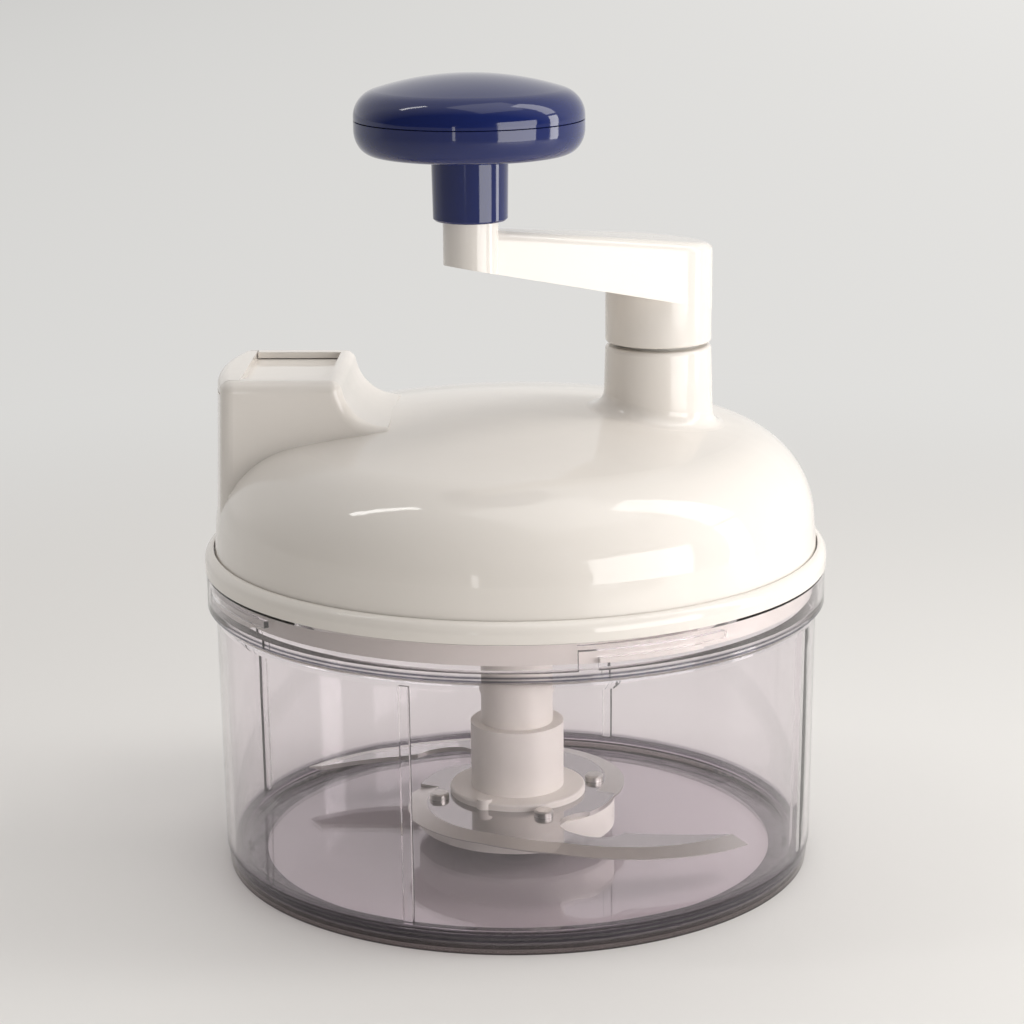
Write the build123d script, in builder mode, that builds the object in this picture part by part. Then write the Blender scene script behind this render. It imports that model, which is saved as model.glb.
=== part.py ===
from build123d import *

import os
from math import acos, atan2, cos, degrees, pi, radians, sin, sqrt, tan

# Crank food chopper: a clear bowl, a lid with a gear train and a filling chute, a crank with a
# free-turning knob, and an S-shaped blade on a spindle. Millimetres, +Z up. The origin is the
# middle of the foot, on the surface that the chopper stands on. The front is -Y.

# ---------------------------------------------------------------- driving sizes: bowl
foot_ring_inset = 0.25  # how far the foot ring's top stands in from the clear wall
foot_ring_flare = 0.6  # how much wider the foot ring is at its top
foot_ring_height = 5.8
foot_ring_wall = 1.95
foot_ring_base = 1.2  # thickness of the ring under the bowl
foot_ring_reach = 9.0  # how far the ring reaches in under the bowl
bowl_low_radius = 81.6  # outside of the clear wall just above the foot ring
bowl_draft = 0.8  # how much wider the wall is just under the lip
bowl_wall = 2.1
bowl_height = 83.36
floor_thickness = 2.2
floor_step_height = 1.5
floor_step_width = 1.6
lip_step = 2.3  # how far the band round the mouth stands out from the wall
lip_wall = 1.5
lip_height = 9.6  # outer band round the mouth
lip_cove = 3.4  # height of the curve from the wall out to the band
lip_edge = 0.5
lip_well = 7.56  # depth of the inner step that takes the lid's skirt
rib_count = 4
rib_start_angle = -108.7
rib_width = 2.6
rib_depth = 1.5
rib_top_drop = 5.2  # below the inner step

# ---------------------------------------------------------------- driving sizes: bayonet
bayonet_count = 4
bar_start_angle = -77.4
bar_sweep_angle = 28.8
bar_height = 1.8
bar_depth = 1.5
bar_top_drop = 2.4  # from the bowl's top edge
bar_stop_angle = 3.5  # the stop under the clockwise end of each bar
lug_sweep_angle = 20.0
lug_height = 1.3
lug_play_angle = 0.3
sliding_gap = 0.3  # between the faces that slide past each other when the lid turns

# ---------------------------------------------------------------- driving sizes: lid
lid_rim_overhang = 0.3  # how far the lid's rim stands out past the lip
lid_rim_height = 5.36
lid_rim_edge = 3.0  # height of the rounded top edge
lid_skirt_depth = 6.3
lid_skirt_wall = 2.0
lid_plate = 2.4
dome_setback = 3.4  # from the rim's outside to the dome's
dome_corner_radius = 25.0
dome_crown_radius = 281.0
dome_height = 37.68  # from the top of the rim to the top of the crown
dome_draft_angle = 4.5
dome_wall = 2.4
seam_gap = 0.4

# ---------------------------------------------------------------- driving sizes: filling chute
chute_setback = 1.8  # from the dome's outside to the chute's outer face, at its top
chute_length = 34.8  # from the outer face to the top of the slope
chute_half_width = 24.0
chute_rise = 10.5  # above the crown
chute_shoulder = 0.2  # straight stretch above the slope
chute_outer_draft_angle = 2.0
chute_corner = 4.0
chute_top_edge = 3.0
chute_side_wall = 3.1
chute_end_wall = 3.6
chute_sweep_radius = 12.3  # concave slope down to the dome
duct_wall = 1.8
cover_recess = 2.0
cover_rim = 5.6  # width of the rim that overhangs the sliding cover
cover_plate = 1.7
cover_play = 0.3
grip_length = 7.8  # of the cover's finger grip, in from the chute's outer face
grip_height = 3.5
cover_travel = 20.0

# ---------------------------------------------------------------- driving sizes: gear train
gear_module = 1.5
drive_teeth = 36
pinion_teeth = 16
pressure_angle = 20.0
gear_backlash = 0.16
gear_dedendum = 1.25  # depth of a tooth under the pitch circle, in modules
flank_chords = 4
gear_width = 8.0
gear_web = 3.0
gear_rim = 4.0
gear_hub_radius = 10.5
gear_hub_height = 15.0
gear_low_gap = 4.6  # from the lid plate up to the gears
root_undercut = 0.02  # how much wider a tooth is at its root, in radians
web_hole_count = 6
web_hole_radius = 4.0
running_gap = 0.05
end_play = 0.3

# ---------------------------------------------------------------- driving sizes: crank and knob
neck_rise = 16.2  # above the crown
neck_top_radius = 14.3
neck_taper_angle = 1.6
neck_edge = 1.2
neck_fillet = 4.5
bush_radius = 9.5
bush_flange_radius = 11.5
bush_flange = 0.8
shaft_radius = 6.0
shaft_grip_depth = 16.0
shaft_hex = 9.0
boss_radius = 14.3
boss_edge = 0.5
arm_overhang = 0.15  # how far the arm's sides stand out past the boss
crank_length = 62.7
crank_angle = 219.7  # direction of the arm, seen from above
boss_height = 11.0  # from its lower end to the arm's underside
arm_depth_at_boss = 16.8
arm_depth_at_post = 10.6
arm_rise = 14.6  # how far the underside climbs from the boss to the post
arm_end_radius = 4.2
arm_edge = 2.8
post_radius = 7.05
post_rise = 1.9  # above the arm's upper side
spindle_radius = 5.0
sleeve_length = 15.8  # from its lower end to the head's underside
sleeve_radius = 9.5
sleeve_draft = 0.25
sleeve_edge = 0.5
knob_radius = 29.15
knob_height = 20.9  # of the head
knob_under_rise = 1.0  # the underside climbs this much towards its edge
knob_under_edge = 5.0  # width of the rounded edge under the head
knob_side_rise = 7.4  # from the underside to the straight part of the side
knob_seam_rise = 9.7  # from the underside to the joint between the head's two halves
knob_corner_radius = 7.0  # edge round the top
knob_crown_radius = 80.0
knob_wall = 2.2
cap_wall = 4.4
knob_floor = 2.4
knob_seam_gap = 0.3
knob_seam_depth = 0.5
cap_plug_depth = 3.0

# ---------------------------------------------------------------- driving sizes: spindle and blade
spindle_tube_radius = 10.0
sleeve_hub_radius = 12.95
sleeve_hub_height = 20.5  # above the blade
hub_flange_radius = 18.9
hub_flange = 1.9
hub_lug_radius = 2.1
hub_lug_rise = 0.9
hub_lug_angle = 241.0
puck_radius = 27.2
puck_gap = 3.6  # from the bowl's floor
puck_height = 7.8
puck_wall = 2.4
puck_deck = 2.6
puck_hub_wall = 3.0
pivot_radius = 3.0
pivot_boss_radius = 6.0
pivot_boss_height = 5.1
pivot_length = 27.5  # above its boss
pivot_seat_depth = 5.0
dog_hex = 9.6
dog_length = 14.0
blade_thickness = 1.3
blade_disc_radius = 27.4
blade_tip_gap = 9.7  # from the tip to the inside of the bowl's wall
blade_bend_radius = 30.0  # where the arms begin to droop
blade_tip_angle = -25.0
blade_droop_angle = 5.0
blade_bevel_width = 5.4  # of the ground bevel along each arm's leading edge
blade_bevel_depth = 1.0  # how far it drops to that edge
notch_radius = 9.3  # of the round notch between the blade's middle and each arm
# points of an arm's outline, in shares of the tip's radius: along the arm and across it
arm_root = (-0.372, -0.115)
arm_shoulder = (-0.211, -0.466)
arm_front = (0.126, -0.570)
arm_belly = (0.563, -0.499)
arm_tip = (1.0, -0.021)
arm_heel = (0.926, 0.003)
arm_hollow = (0.716, -0.158)
arm_throat = (0.473, -0.287)
notch_centre = (0.447, -0.228)
rivet_circle = 22.8
rivet_count = 4
rivet_start_angle = 20.0
rivet_radius = 2.6
rivet_shank_radius = 1.4
rivet_head = 1.7

# ---------------------------------------------------------------- driving sizes: screws and washers
lid_screw_inset = 15.6  # from the dome's outside to the screws' circle
lid_screw_angles = (60.0, 120.0, 240.0, 300.0)
lid_screw_radius = 1.6
lid_screw_head_radius = 3.2
lid_screw_head = 2.0
lid_screw_length = 14.0
lid_boss_radius = 4.2
pivot_spigot_radius = 4.0
pivot_spigot_length = 10.0
pinion_boss_wall = 3.0
pinion_boss_gap = 1.3  # between the pinion and the boss of its upper pivot
journal_radius = 7.0
drive_bush_wall = 2.4
drive_bush_flange_radius = 12.5
drive_bush_flange = 1.4
drive_bush_rise = 2.0
washer_thickness = 0.8
washer_radius = 8.2
thrust_washer_thickness = 1.6
gear_screw_radius = 2.0
gear_screw_head_radius = 4.4
gear_screw_head = 2.4
gear_screw_length = 12.0
knob_screw_radius = 1.8
knob_screw_head_radius = 3.8
knob_screw_head = 2.4
knob_screw_length = 16.0

# ---------------------------------------------------------------- places that follow from the sizes
floor_top = foot_ring_base + floor_thickness
wall_foot = floor_top + 2 * floor_step_height
foot_top_radius = bowl_low_radius - foot_ring_inset
foot_radius = foot_top_radius - foot_ring_flare
bowl_foot_radius = foot_top_radius - foot_ring_wall
bowl_high_radius = bowl_low_radius + bowl_draft
lip_radius = bowl_high_radius + lip_step
lip_low = bowl_height - lip_height
lip_inner_radius = lip_radius - lip_wall
ledge_z = bowl_height - lip_well
bar_top = bowl_height - bar_top_drop
bar_low = bar_top - bar_height
bar_inner_radius = lip_inner_radius - bar_depth
bar_root_radius = lip_radius - lip_wall / 2

lid_rim_radius = lip_radius + lid_rim_overhang
dome_radius = lid_rim_radius - dome_setback
rim_low = bowl_height + sliding_gap
rim_top = rim_low + lid_rim_height
rim_curve_low = rim_top - lid_rim_edge
skirt_low = rim_low - lid_skirt_depth
skirt_radius = bar_inner_radius - sliding_gap
lug_top = bar_low - sliding_gap
lug_radius = lip_inner_radius - sliding_gap
plate_low = rim_low + sliding_gap
plate_top = plate_low + lid_plate
dome_top = rim_top + dome_height
lid_screw_circle = dome_radius - lid_screw_inset

chute_outer_radius = dome_radius - chute_setback
chute_inner_x = chute_length - chute_outer_radius
chute_top = dome_top + chute_rise
cover_split_x = grip_length - chute_outer_radius
cover_top = chute_top - cover_recess
cover_low = cover_top - cover_plate
duct_inner_x = chute_inner_x - chute_end_wall
duct_outer_x = cover_split_x + cover_play
duct_x = (duct_inner_x + duct_outer_x) / 2
duct_length = duct_inner_x - duct_outer_x
rail_half_width = chute_half_width - chute_side_wall
opening_half_width = chute_half_width - cover_rim

crank_x = gear_module * (drive_teeth + pinion_teeth) / 2
gear_low = plate_top + gear_low_gap
gear_top = gear_low + gear_width
hub_top = gear_low + gear_hub_height
bush_low = hub_top + thrust_washer_thickness + end_play
neck_top = dome_top + neck_rise
boss_low = neck_top + bush_flange + end_play
shaft_top = boss_low + shaft_grip_depth
arm_low_at_boss = boss_low + boss_height
arm_top_at_boss = arm_low_at_boss + arm_depth_at_boss
arm_low_at_post = arm_low_at_boss + arm_rise
arm_top_at_post = arm_low_at_post + arm_depth_at_post
post_top = arm_top_at_post + post_rise

sleeve_low = post_top + end_play
knob_under = sleeve_low + sleeve_length
knob_side_low = knob_under + knob_side_rise
knob_seam = knob_under + knob_seam_rise
knob_top = knob_under + knob_height
cup_floor = knob_under + knob_floor
spindle_top = cup_floor + end_play

drive_bush_radius = journal_radius + drive_bush_wall
drive_bush_low = plate_low - drive_bush_flange
tube_top = drive_bush_low - end_play
pivot_boss_top = floor_top + pivot_boss_height
pivot_top = pivot_boss_top + pivot_length
tube_end = pivot_boss_top + end_play
puck_low = floor_top + puck_gap
blade_low = puck_low + puck_height
blade_top = blade_low + blade_thickness
blade_tip_radius = bowl_low_radius - bowl_wall - blade_tip_gap
sleeve_hub_top = blade_top + sleeve_hub_height
puck_hub_radius = spindle_tube_radius + puck_hub_wall


def on_circle(centre, radius, angle):
    """Point at an angle in degrees round a circle."""
    return (centre[0] + radius * cos(radians(angle)), centre[1] + radius * sin(radians(angle)))


def crowned(radius, corner_radius, crown_radius, top, side_angle=0, inset=0):
    """Points of a round corner that runs into a crown: side, middle, shoulder, middle, top.

    The corner's arc starts where the side's draft angle touches it, and meets the crown's arc
    at a common tangent. An inset moves the whole outline inwards by a wall.
    """
    crown = (0, top - crown_radius)
    corner_x = radius - corner_radius
    corner = (corner_x, crown[1] + sqrt((crown_radius - corner_radius) ** 2 - corner_x**2))
    shoulder_angle = degrees(atan2(corner[1] - crown[1], corner_x))
    corner_angles = (side_angle, (side_angle + shoulder_angle) / 2, shoulder_angle)
    crown_angles = ((shoulder_angle + 90) / 2, 90)
    corner_arc = [on_circle(corner, corner_radius - inset, angle) for angle in corner_angles]
    return corner_arc + [on_circle(crown, crown_radius - inset, angle) for angle in crown_angles]


def dome_outline(inset):
    """The lid dome's outline, or the same one a wall further in."""
    return crowned(dome_radius, dome_corner_radius, dome_crown_radius, dome_top, dome_draft_angle, inset)


def dome_side(inset, height):
    """Radius of the dome's drafted side wall at a height under its rounded corner."""
    x, z = dome_outline(inset)[0]
    return x + (z - height) * tan(radians(dome_draft_angle))


def dome_face(inset, low):
    """Half section of the dome: drafted side, round corner and flat crown."""
    outline = dome_outline(inset)
    with BuildSketch(Plane.YZ) as section:
        with BuildLine():
            Polyline(outline[4], (0, low), (dome_side(inset, low), low), outline[0])
            ThreePointArc(*outline[0:3])
            ThreePointArc(*outline[2:5])
        make_face()
    return section.sketch


def hexagon(across_flats):
    """Regular hexagon sketch on the builder's plane, given across its flats."""
    return RegularPolygon(across_flats / 2, 6, major_radius=False)


def turned(points, centre=(0, 0)):
    """Solid of revolution about a vertical axis through centre, from (radius, height) points."""
    axis_plane = Plane(origin=(centre[0], centre[1], 0), x_dir=(1, 0, 0), z_dir=(0, -1, 0))
    with BuildSketch(axis_plane) as section:
        with BuildLine():
            Polyline(*points, close=True)
        make_face()
    revolve(section.sketch, axis=Axis((centre[0], centre[1], 0), (0, 0, 1)))


def ring_sector(inner, outer, low, high, start, sweep):
    """Part of a ring about the Z axis, given by its radii and heights, from a start angle."""
    with BuildSketch(Plane.XZ.rotated((0, 0, start))) as section:
        with Locations(((inner + outer) / 2, (low + high) / 2)):
            Rectangle(outer - inner, high - low)
    revolve(section.sketch, axis=Axis.Z, revolution_arc=sweep)


def involute(base, radius):
    """Angle in radians that an involute of a base circle has turned through at a radius."""
    return tan(acos(base / radius)) - acos(base / radius)


def gear_points(teeth, tooth_at):
    """Outline of an involute spur gear, with a tooth centred at the given angle.

    Each flank is the involute of the base circle, in a few chords, and the root is straight.
    """
    pitch = gear_module * teeth / 2
    base = pitch * cos(radians(pressure_angle))
    tip = pitch + gear_module
    root = pitch - gear_dedendum * gear_module
    flank_low = max(base, root)
    half_at_pitch = (pi * gear_module / 2 - gear_backlash) / (2 * pitch)
    radii = [flank_low + (tip - flank_low) * step / flank_chords for step in range(flank_chords + 1)]
    halves = [half_at_pitch + involute(base, pitch) - involute(base, radius) for radius in radii]
    side = [(root, halves[0] + root_undercut)] + list(zip(radii, halves))
    outline = []
    for tooth in range(teeth):
        middle = radians(tooth_at) + 2 * pi * tooth / teeth
        outline += [(radius * cos(middle - half), radius * sin(middle - half)) for radius, half in side]
        outline += [(radius * cos(middle + half), radius * sin(middle + half)) for radius, half in side[::-1]]
    return outline


def finish(piece, name):
    """Label a finished piece and write it to its own file."""
    piece.part.label = name
    export_step(piece.part, f"parts/{name}.step")


os.makedirs("parts", exist_ok=True)

# ================================================================ foot ring
# Soft ring that grips the table. It wraps the bowl's lower edge and reaches in under its floor.
with BuildPart() as base_ring:
    with BuildSketch(Plane.XZ):
        with BuildLine():
            Polyline(
                (foot_radius, 0),
                (foot_top_radius, foot_ring_height),
                (bowl_foot_radius, foot_ring_height),
                (bowl_foot_radius, foot_ring_base),
                (bowl_foot_radius - foot_ring_reach, foot_ring_base),
                (bowl_foot_radius - foot_ring_reach, 0),
                close=True,
            )
        make_face()
    revolve(axis=Axis.Z)
finish(base_ring, "base_ring")

# ================================================================ bowl
# Clear moulded bowl: stepped floor, drafted wall, and a wider lip band with the bayonet bars.
floor_corner_radius = bowl_low_radius - bowl_wall
step_one = bowl_foot_radius - bowl_wall - floor_step_width
with BuildPart() as bowl:
    with BuildSketch(Plane.XZ):
        with BuildLine():
            Polyline(
                (0, foot_ring_base),
                (bowl_foot_radius, foot_ring_base),
                (bowl_foot_radius, foot_ring_height),
                (bowl_low_radius, foot_ring_height),
                (bowl_high_radius, lip_low - lip_cove),
            )
            EllipticalCenterArc(
                center=(lip_radius, lip_low - lip_cove),
                x_radius=lip_radius - bowl_high_radius,
                y_radius=lip_cove,
                start_angle=90,
                arc_size=90,
            )
            Polyline(
                (lip_radius, lip_low),
                (lip_radius, bowl_height - lip_edge),
                (lip_radius - lip_edge, bowl_height),
                (lip_inner_radius, bowl_height),
                (lip_inner_radius, ledge_z),
                (bowl_high_radius - bowl_wall, ledge_z),
                (floor_corner_radius, wall_foot),
                (step_one + floor_step_width, wall_foot),
                (step_one + floor_step_width, floor_top + floor_step_height),
                (step_one, floor_top + floor_step_height),
                (step_one - floor_step_height, floor_top),
                (0, floor_top),
                (0, foot_ring_base),
            )
        make_face()
    revolve(axis=Axis.Z)
    # ribs that stop the food from going round with the blade
    for rib in range(rib_count):
        rib_angle = rib_start_angle + 360 / rib_count * rib
        rib_sweep = degrees(rib_width / floor_corner_radius)
        with BuildSketch(Plane.XZ.rotated((0, 0, rib_angle - rib_sweep / 2))):
            with BuildLine():
                Polyline(
                    (floor_corner_radius + bowl_wall / 2, wall_foot),
                    (bowl_high_radius - bowl_wall / 2, ledge_z - rib_top_drop),
                    (bowl_high_radius - bowl_wall - rib_depth, ledge_z - rib_top_drop),
                    (floor_corner_radius - rib_depth, wall_foot),
                    close=True,
                )
            make_face()
        revolve(axis=Axis.Z, revolution_arc=rib_sweep)
    # bayonet bars inside the lip, each with a stop under its clockwise end
    for bar in range(bayonet_count):
        bar_angle = bar_start_angle + 360 / bayonet_count * bar
        ring_sector(bar_inner_radius, bar_root_radius, bar_low, bar_top, bar_angle, bar_sweep_angle)
        ring_sector(bar_inner_radius, bar_root_radius, ledge_z, bar_low, bar_angle, bar_stop_angle)
    # raised boss that holds the pivot pin
    with BuildSketch(Plane.XY.offset(floor_top)):
        Circle(pivot_boss_radius)
    extrude(amount=pivot_boss_top - floor_top)
    with BuildSketch(Plane.XY.offset(pivot_boss_top)):
        Circle(pivot_radius)
    extrude(amount=-pivot_seat_depth, mode=Mode.SUBTRACT)
finish(bowl, "bowl")

# ================================================================ pivot pin
# Steel pin moulded into the bowl's boss. The spindle turns on it.
with BuildPart() as pivot_pin:
    with BuildSketch(Plane.XY.offset(pivot_boss_top - pivot_seat_depth)):
        Circle(pivot_radius)
    extrude(amount=pivot_top - pivot_boss_top + pivot_seat_depth)
    fillet(pivot_pin.edges().group_by(Axis.Z)[-1], pivot_radius / 2)
finish(pivot_pin, "pivot_pin")

# ================================================================ lid base
# Lower half of the lid: rounded rim, skirt with bayonet lugs, and the plate that closes the gear space.
seam_radius = dome_side(0, rim_top) + seam_gap
lug_root_radius = skirt_radius - lid_skirt_wall / 2
with BuildPart() as lid_base:
    with BuildSketch(Plane.XZ):
        with BuildLine():
            Polyline(
                (drive_bush_radius, plate_low),
                (skirt_radius - lid_skirt_wall, plate_low),
                (skirt_radius - lid_skirt_wall, skirt_low),
                (skirt_radius, skirt_low),
                (skirt_radius, rim_low),
                (lid_rim_radius, rim_low),
                (lid_rim_radius, rim_curve_low),
            )
            EllipticalCenterArc(
                center=(seam_radius, rim_curve_low),
                x_radius=lid_rim_radius - seam_radius,
                y_radius=lid_rim_edge,
                start_angle=0,
                arc_size=90,
            )
            Polyline(
                (seam_radius, rim_top),
                (seam_radius, plate_top),
                (drive_bush_radius, plate_top),
                (drive_bush_radius, plate_low),
            )
        make_face()
    revolve(axis=Axis.Z)
    for lug in range(bayonet_count):
        lug_angle = bar_start_angle + bar_stop_angle + lug_play_angle + 360 / bayonet_count * lug
        ring_sector(lug_root_radius, lug_radius, lug_top - lug_height, lug_top, lug_angle, lug_sweep_angle)
    # opening for the chute's duct
    with BuildSketch(Plane.XY.offset(plate_low)):
        with Locations((duct_x, 0)):
            Rectangle(duct_length + 2 * duct_wall, 2 * (opening_half_width + duct_wall))
    extrude(amount=plate_top - plate_low, mode=Mode.SUBTRACT)
    with BuildSketch(Plane.XY.offset(plate_low)):
        for angle in lid_screw_angles:
            with Locations(on_circle((0, 0), lid_screw_circle, angle)):
                Circle(lid_screw_radius)
    extrude(amount=plate_top - plate_low, mode=Mode.SUBTRACT)
finish(lid_base, "lid_base")

# ================================================================ dome core and filling chute
# The dome's outer body, and the tower at its left with a concave slope down to the crown. The
# tower's outer end is split off as the finger grip of the sliding cover, so that both run on.
with BuildPart() as dome_core:
    add(dome_face(0, plate_top))
    revolve(axis=Axis.Z)

chute_foot_radius = chute_outer_radius + (chute_top - rim_top) * tan(radians(chute_outer_draft_angle))
slope_centre = (chute_inner_x + chute_sweep_radius, chute_top - chute_shoulder)
slope = [on_circle(slope_centre, chute_sweep_radius, angle) for angle in (180, 225, 270)]
with BuildPart() as chute_block:
    with BuildSketch(Plane.XZ):
        with BuildLine():
            Polyline(
                slope[0],
                (chute_inner_x, chute_top),
                (-lid_rim_radius, chute_top),
                (-lid_rim_radius, rim_top),
                (slope_centre[0], rim_top),
                slope[2],
            )
            ThreePointArc(*slope)
        make_face()
    extrude(amount=chute_half_width, both=True)
    with BuildSketch(Plane.XZ):
        with BuildLine():
            Polyline(
                (0, rim_top),
                (chute_foot_radius, rim_top),
                (chute_outer_radius, chute_top),
                (0, chute_top),
                close=True,
            )
        make_face()
    revolve(axis=Axis.Z, mode=Mode.INTERSECT)
    upright = [
        edge
        for edge in chute_block.edges()
        if edge.bounding_box().size.Z > chute_rise and edge.center().X < cover_split_x
    ]
    fillet([edge for edge in upright if abs(edge.center().Y) > chute_corner], chute_corner)
    slope_edges = chute_block.edges().filter_by(GeomType.CIRCLE).filter_by_position(
        Axis.Z, slope[2][1], chute_top, inclusive=(False, False)
    )
    slope_sides = [edge for edge in slope_edges if edge.center().X > chute_inner_x]
    fillet(chute_block.edges().group_by(Axis.Z)[-1] + slope_sides, chute_top_edge)

# ================================================================ lid dome
# Upper half of the lid: a thin dome with the chute tower, the crank's neck, the bosses for the
# screws and for the pinion's upper pivot, and the duct that leads down into the bowl.
bush_bottom_boss = bush_radius + dome_wall
with BuildPart() as lid_fittings:
    with BuildSketch(Plane.XY.offset(plate_top)):
        with Locations((duct_x, 0)):
            Rectangle(duct_length + 2 * duct_wall, 2 * (opening_half_width + duct_wall))
        for angle in lid_screw_angles:
            with Locations(on_circle((0, 0), lid_screw_circle, angle)):
                Circle(lid_boss_radius)
    extrude(amount=dome_top - plate_top)
    with BuildSketch(Plane.XY.offset(gear_top + pinion_boss_gap)):
        Circle(pivot_spigot_radius + pinion_boss_wall)
    extrude(amount=dome_top - gear_top)
    with BuildSketch(Plane.XY.offset(bush_low)):
        with Locations((crank_x, 0)):
            Circle(bush_bottom_boss)
    extrude(amount=dome_top - bush_low)
    add(dome_core.part, mode=Mode.INTERSECT)

with BuildPart() as lid_dome:
    add(dome_core.part)
    add(chute_block.part)
    with BuildSketch(Plane.XY.offset(neck_top)):
        with Locations((crank_x, 0)):
            Circle(neck_top_radius)
    extrude(amount=-(neck_top - gear_top), taper=-neck_taper_angle)
    fillet(lid_dome.edges().group_by(Axis.Z)[-1], neck_edge)
    neck_foot = [edge for edge in lid_dome.edges().filter_by(GeomType.BSPLINE) if edge.center().X > 0]
    fillet(neck_foot, neck_fillet)
    # hollow the dome, then put back what stands inside it
    add(dome_face(dome_wall, plate_top))
    revolve(axis=Axis.Z, mode=Mode.SUBTRACT)
    slope_hollow = [
        on_circle(slope_centre, chute_sweep_radius + dome_wall, angle) for angle in (205, 235, 265)
    ]
    with BuildSketch(Plane.XZ):
        with BuildLine():
            Polyline(
                slope_hollow[2],
                (slope_hollow[2][0], rim_top),
                (slope_hollow[0][0], rim_top),
                slope_hollow[0],
            )
            ThreePointArc(*slope_hollow)
        make_face()
    extrude(amount=chute_half_width - chute_side_wall, both=True, mode=Mode.SUBTRACT)
    add(lid_fittings.part)
    # the duct, the rails of the sliding cover and the notch that its grip fills
    with BuildSketch(Plane.XY.offset(plate_top)):
        with Locations((duct_x, 0)):
            Rectangle(duct_length, 2 * opening_half_width)
    extrude(amount=chute_top - plate_top, mode=Mode.SUBTRACT)
    with BuildSketch(Plane.XY.offset(cover_low - cover_play)):
        with Locations(((duct_inner_x - lid_rim_radius) / 2, 0)):
            Rectangle(duct_inner_x + lid_rim_radius, 2 * rail_half_width)
    extrude(amount=cover_plate + 2 * cover_play, mode=Mode.SUBTRACT)
    with BuildSketch(Plane.XY.offset(chute_top - grip_height - cover_play)):
        with Locations(((duct_outer_x - lid_rim_radius) / 2, 0)):
            Rectangle(duct_outer_x + lid_rim_radius, 2 * rail_half_width)
    extrude(amount=grip_height + cover_play, mode=Mode.SUBTRACT)
    # bores for the crank's bush, the pinion's upper pivot and the screws
    with BuildSketch(Plane.XY.offset(bush_low)):
        with Locations((crank_x, 0)):
            Circle(bush_radius)
    extrude(amount=neck_top - bush_low, mode=Mode.SUBTRACT)
    with BuildSketch(Plane.XY.offset(gear_top)):
        Circle(pivot_spigot_radius + running_gap)
    extrude(amount=pivot_spigot_length + end_play, mode=Mode.SUBTRACT)
    with BuildSketch(Plane.XY.offset(plate_top)):
        for angle in lid_screw_angles:
            with Locations(on_circle((0, 0), lid_screw_circle, angle)):
                Circle(lid_screw_radius)
    extrude(amount=lid_screw_length - lid_plate, mode=Mode.SUBTRACT)
finish(lid_dome, "lid_dome")

# ================================================================ sliding chute cover
# Flat plate that runs in the tower's rails, with a finger grip that fills the notch at its end.
cover_half_width = rail_half_width - cover_play
with BuildPart() as chute_cover:
    add(chute_block.part)
    with BuildSketch(Plane.XY.offset(chute_top - grip_height)):
        with Locations(((cover_split_x - lid_rim_radius) / 2, 0)):
            Rectangle(cover_split_x + lid_rim_radius, 2 * cover_half_width)
    extrude(amount=grip_height, mode=Mode.INTERSECT)
    with BuildSketch(Plane.XY.offset(cover_low)):
        plate_left = cover_split_x - cover_plate
        with Locations(((duct_inner_x - cover_play + plate_left) / 2, 0)):
            Rectangle(duct_inner_x - cover_play - plate_left, 2 * cover_half_width)
    extrude(amount=cover_plate)
finish(chute_cover, "chute_cover")

# ================================================================ bushes
# Flanged plastic sleeves that the crank's shaft and the pinion's journal turn in.
with BuildPart() as crank_bush:
    turned(
        [
            (shaft_radius + running_gap, bush_low),
            (bush_radius, bush_low),
            (bush_radius, neck_top),
            (bush_flange_radius, neck_top),
            (bush_flange_radius, neck_top + bush_flange),
            (shaft_radius + running_gap, neck_top + bush_flange),
        ],
        (crank_x, 0),
    )
finish(crank_bush, "crank_bush")

with BuildPart() as drive_bush:
    turned(
        [
            (journal_radius + running_gap, drive_bush_low),
            (drive_bush_flange_radius, drive_bush_low),
            (drive_bush_flange_radius, plate_low),
            (drive_bush_radius, plate_low),
            (drive_bush_radius, plate_top + drive_bush_rise),
            (journal_radius + running_gap, plate_top + drive_bush_rise),
        ]
    )
finish(drive_bush, "drive_bush")

# ================================================================ lid screws
# Four self-tapping screws, put in from below, that hold the lid's two halves together.
with BuildPart() as lid_screws:
    for angle in lid_screw_angles:
        turned(
            [
                (0, plate_low - lid_screw_head),
                (lid_screw_head_radius - lid_screw_head / 4, plate_low - lid_screw_head),
                (lid_screw_head_radius, plate_low - lid_screw_head / 2),
                (lid_screw_head_radius, plate_low),
                (lid_screw_radius, plate_low),
                (lid_screw_radius, plate_low + lid_screw_length),
                (0, plate_low + lid_screw_length),
            ],
            on_circle((0, 0), lid_screw_circle, angle),
        )
finish(lid_screws, "lid_screws")

# ================================================================ drive gear and pinion
# The 36-tooth gear on the crank's shaft drives the 16-tooth pinion over the bowl's centre, so
# the blade makes two and a quarter turns for each turn of the crank.
drive_root = gear_module * (drive_teeth / 2 - gear_dedendum)
recess_depth = (gear_width - gear_web) / 2
with BuildPart() as drive_gear:
    with BuildSketch(Plane.XY.offset(gear_low)):
        with Locations((crank_x, 0)):
            Polygon(*gear_points(drive_teeth, 180), align=None)
    extrude(amount=gear_width)
    for recess_low in (gear_low, gear_top - recess_depth):
        with BuildSketch(Plane.XY.offset(recess_low)):
            with Locations((crank_x, 0)):
                Circle(drive_root - gear_rim)
                Circle(gear_hub_radius, mode=Mode.SUBTRACT)
        extrude(amount=recess_depth, mode=Mode.SUBTRACT)
    with BuildSketch(Plane.XY.offset(gear_low)):
        with Locations((crank_x, 0)):
            Circle(gear_hub_radius)
    extrude(amount=gear_hub_height)
    with BuildSketch(Plane.XY.offset(gear_low)):
        with Locations((crank_x, 0)):
            with PolarLocations((gear_hub_radius + drive_root - gear_rim) / 2, web_hole_count):
                Circle(web_hole_radius)
            hexagon(shaft_hex)
    extrude(amount=gear_hub_height, mode=Mode.SUBTRACT)
finish(drive_gear, "drive_gear")

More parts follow.
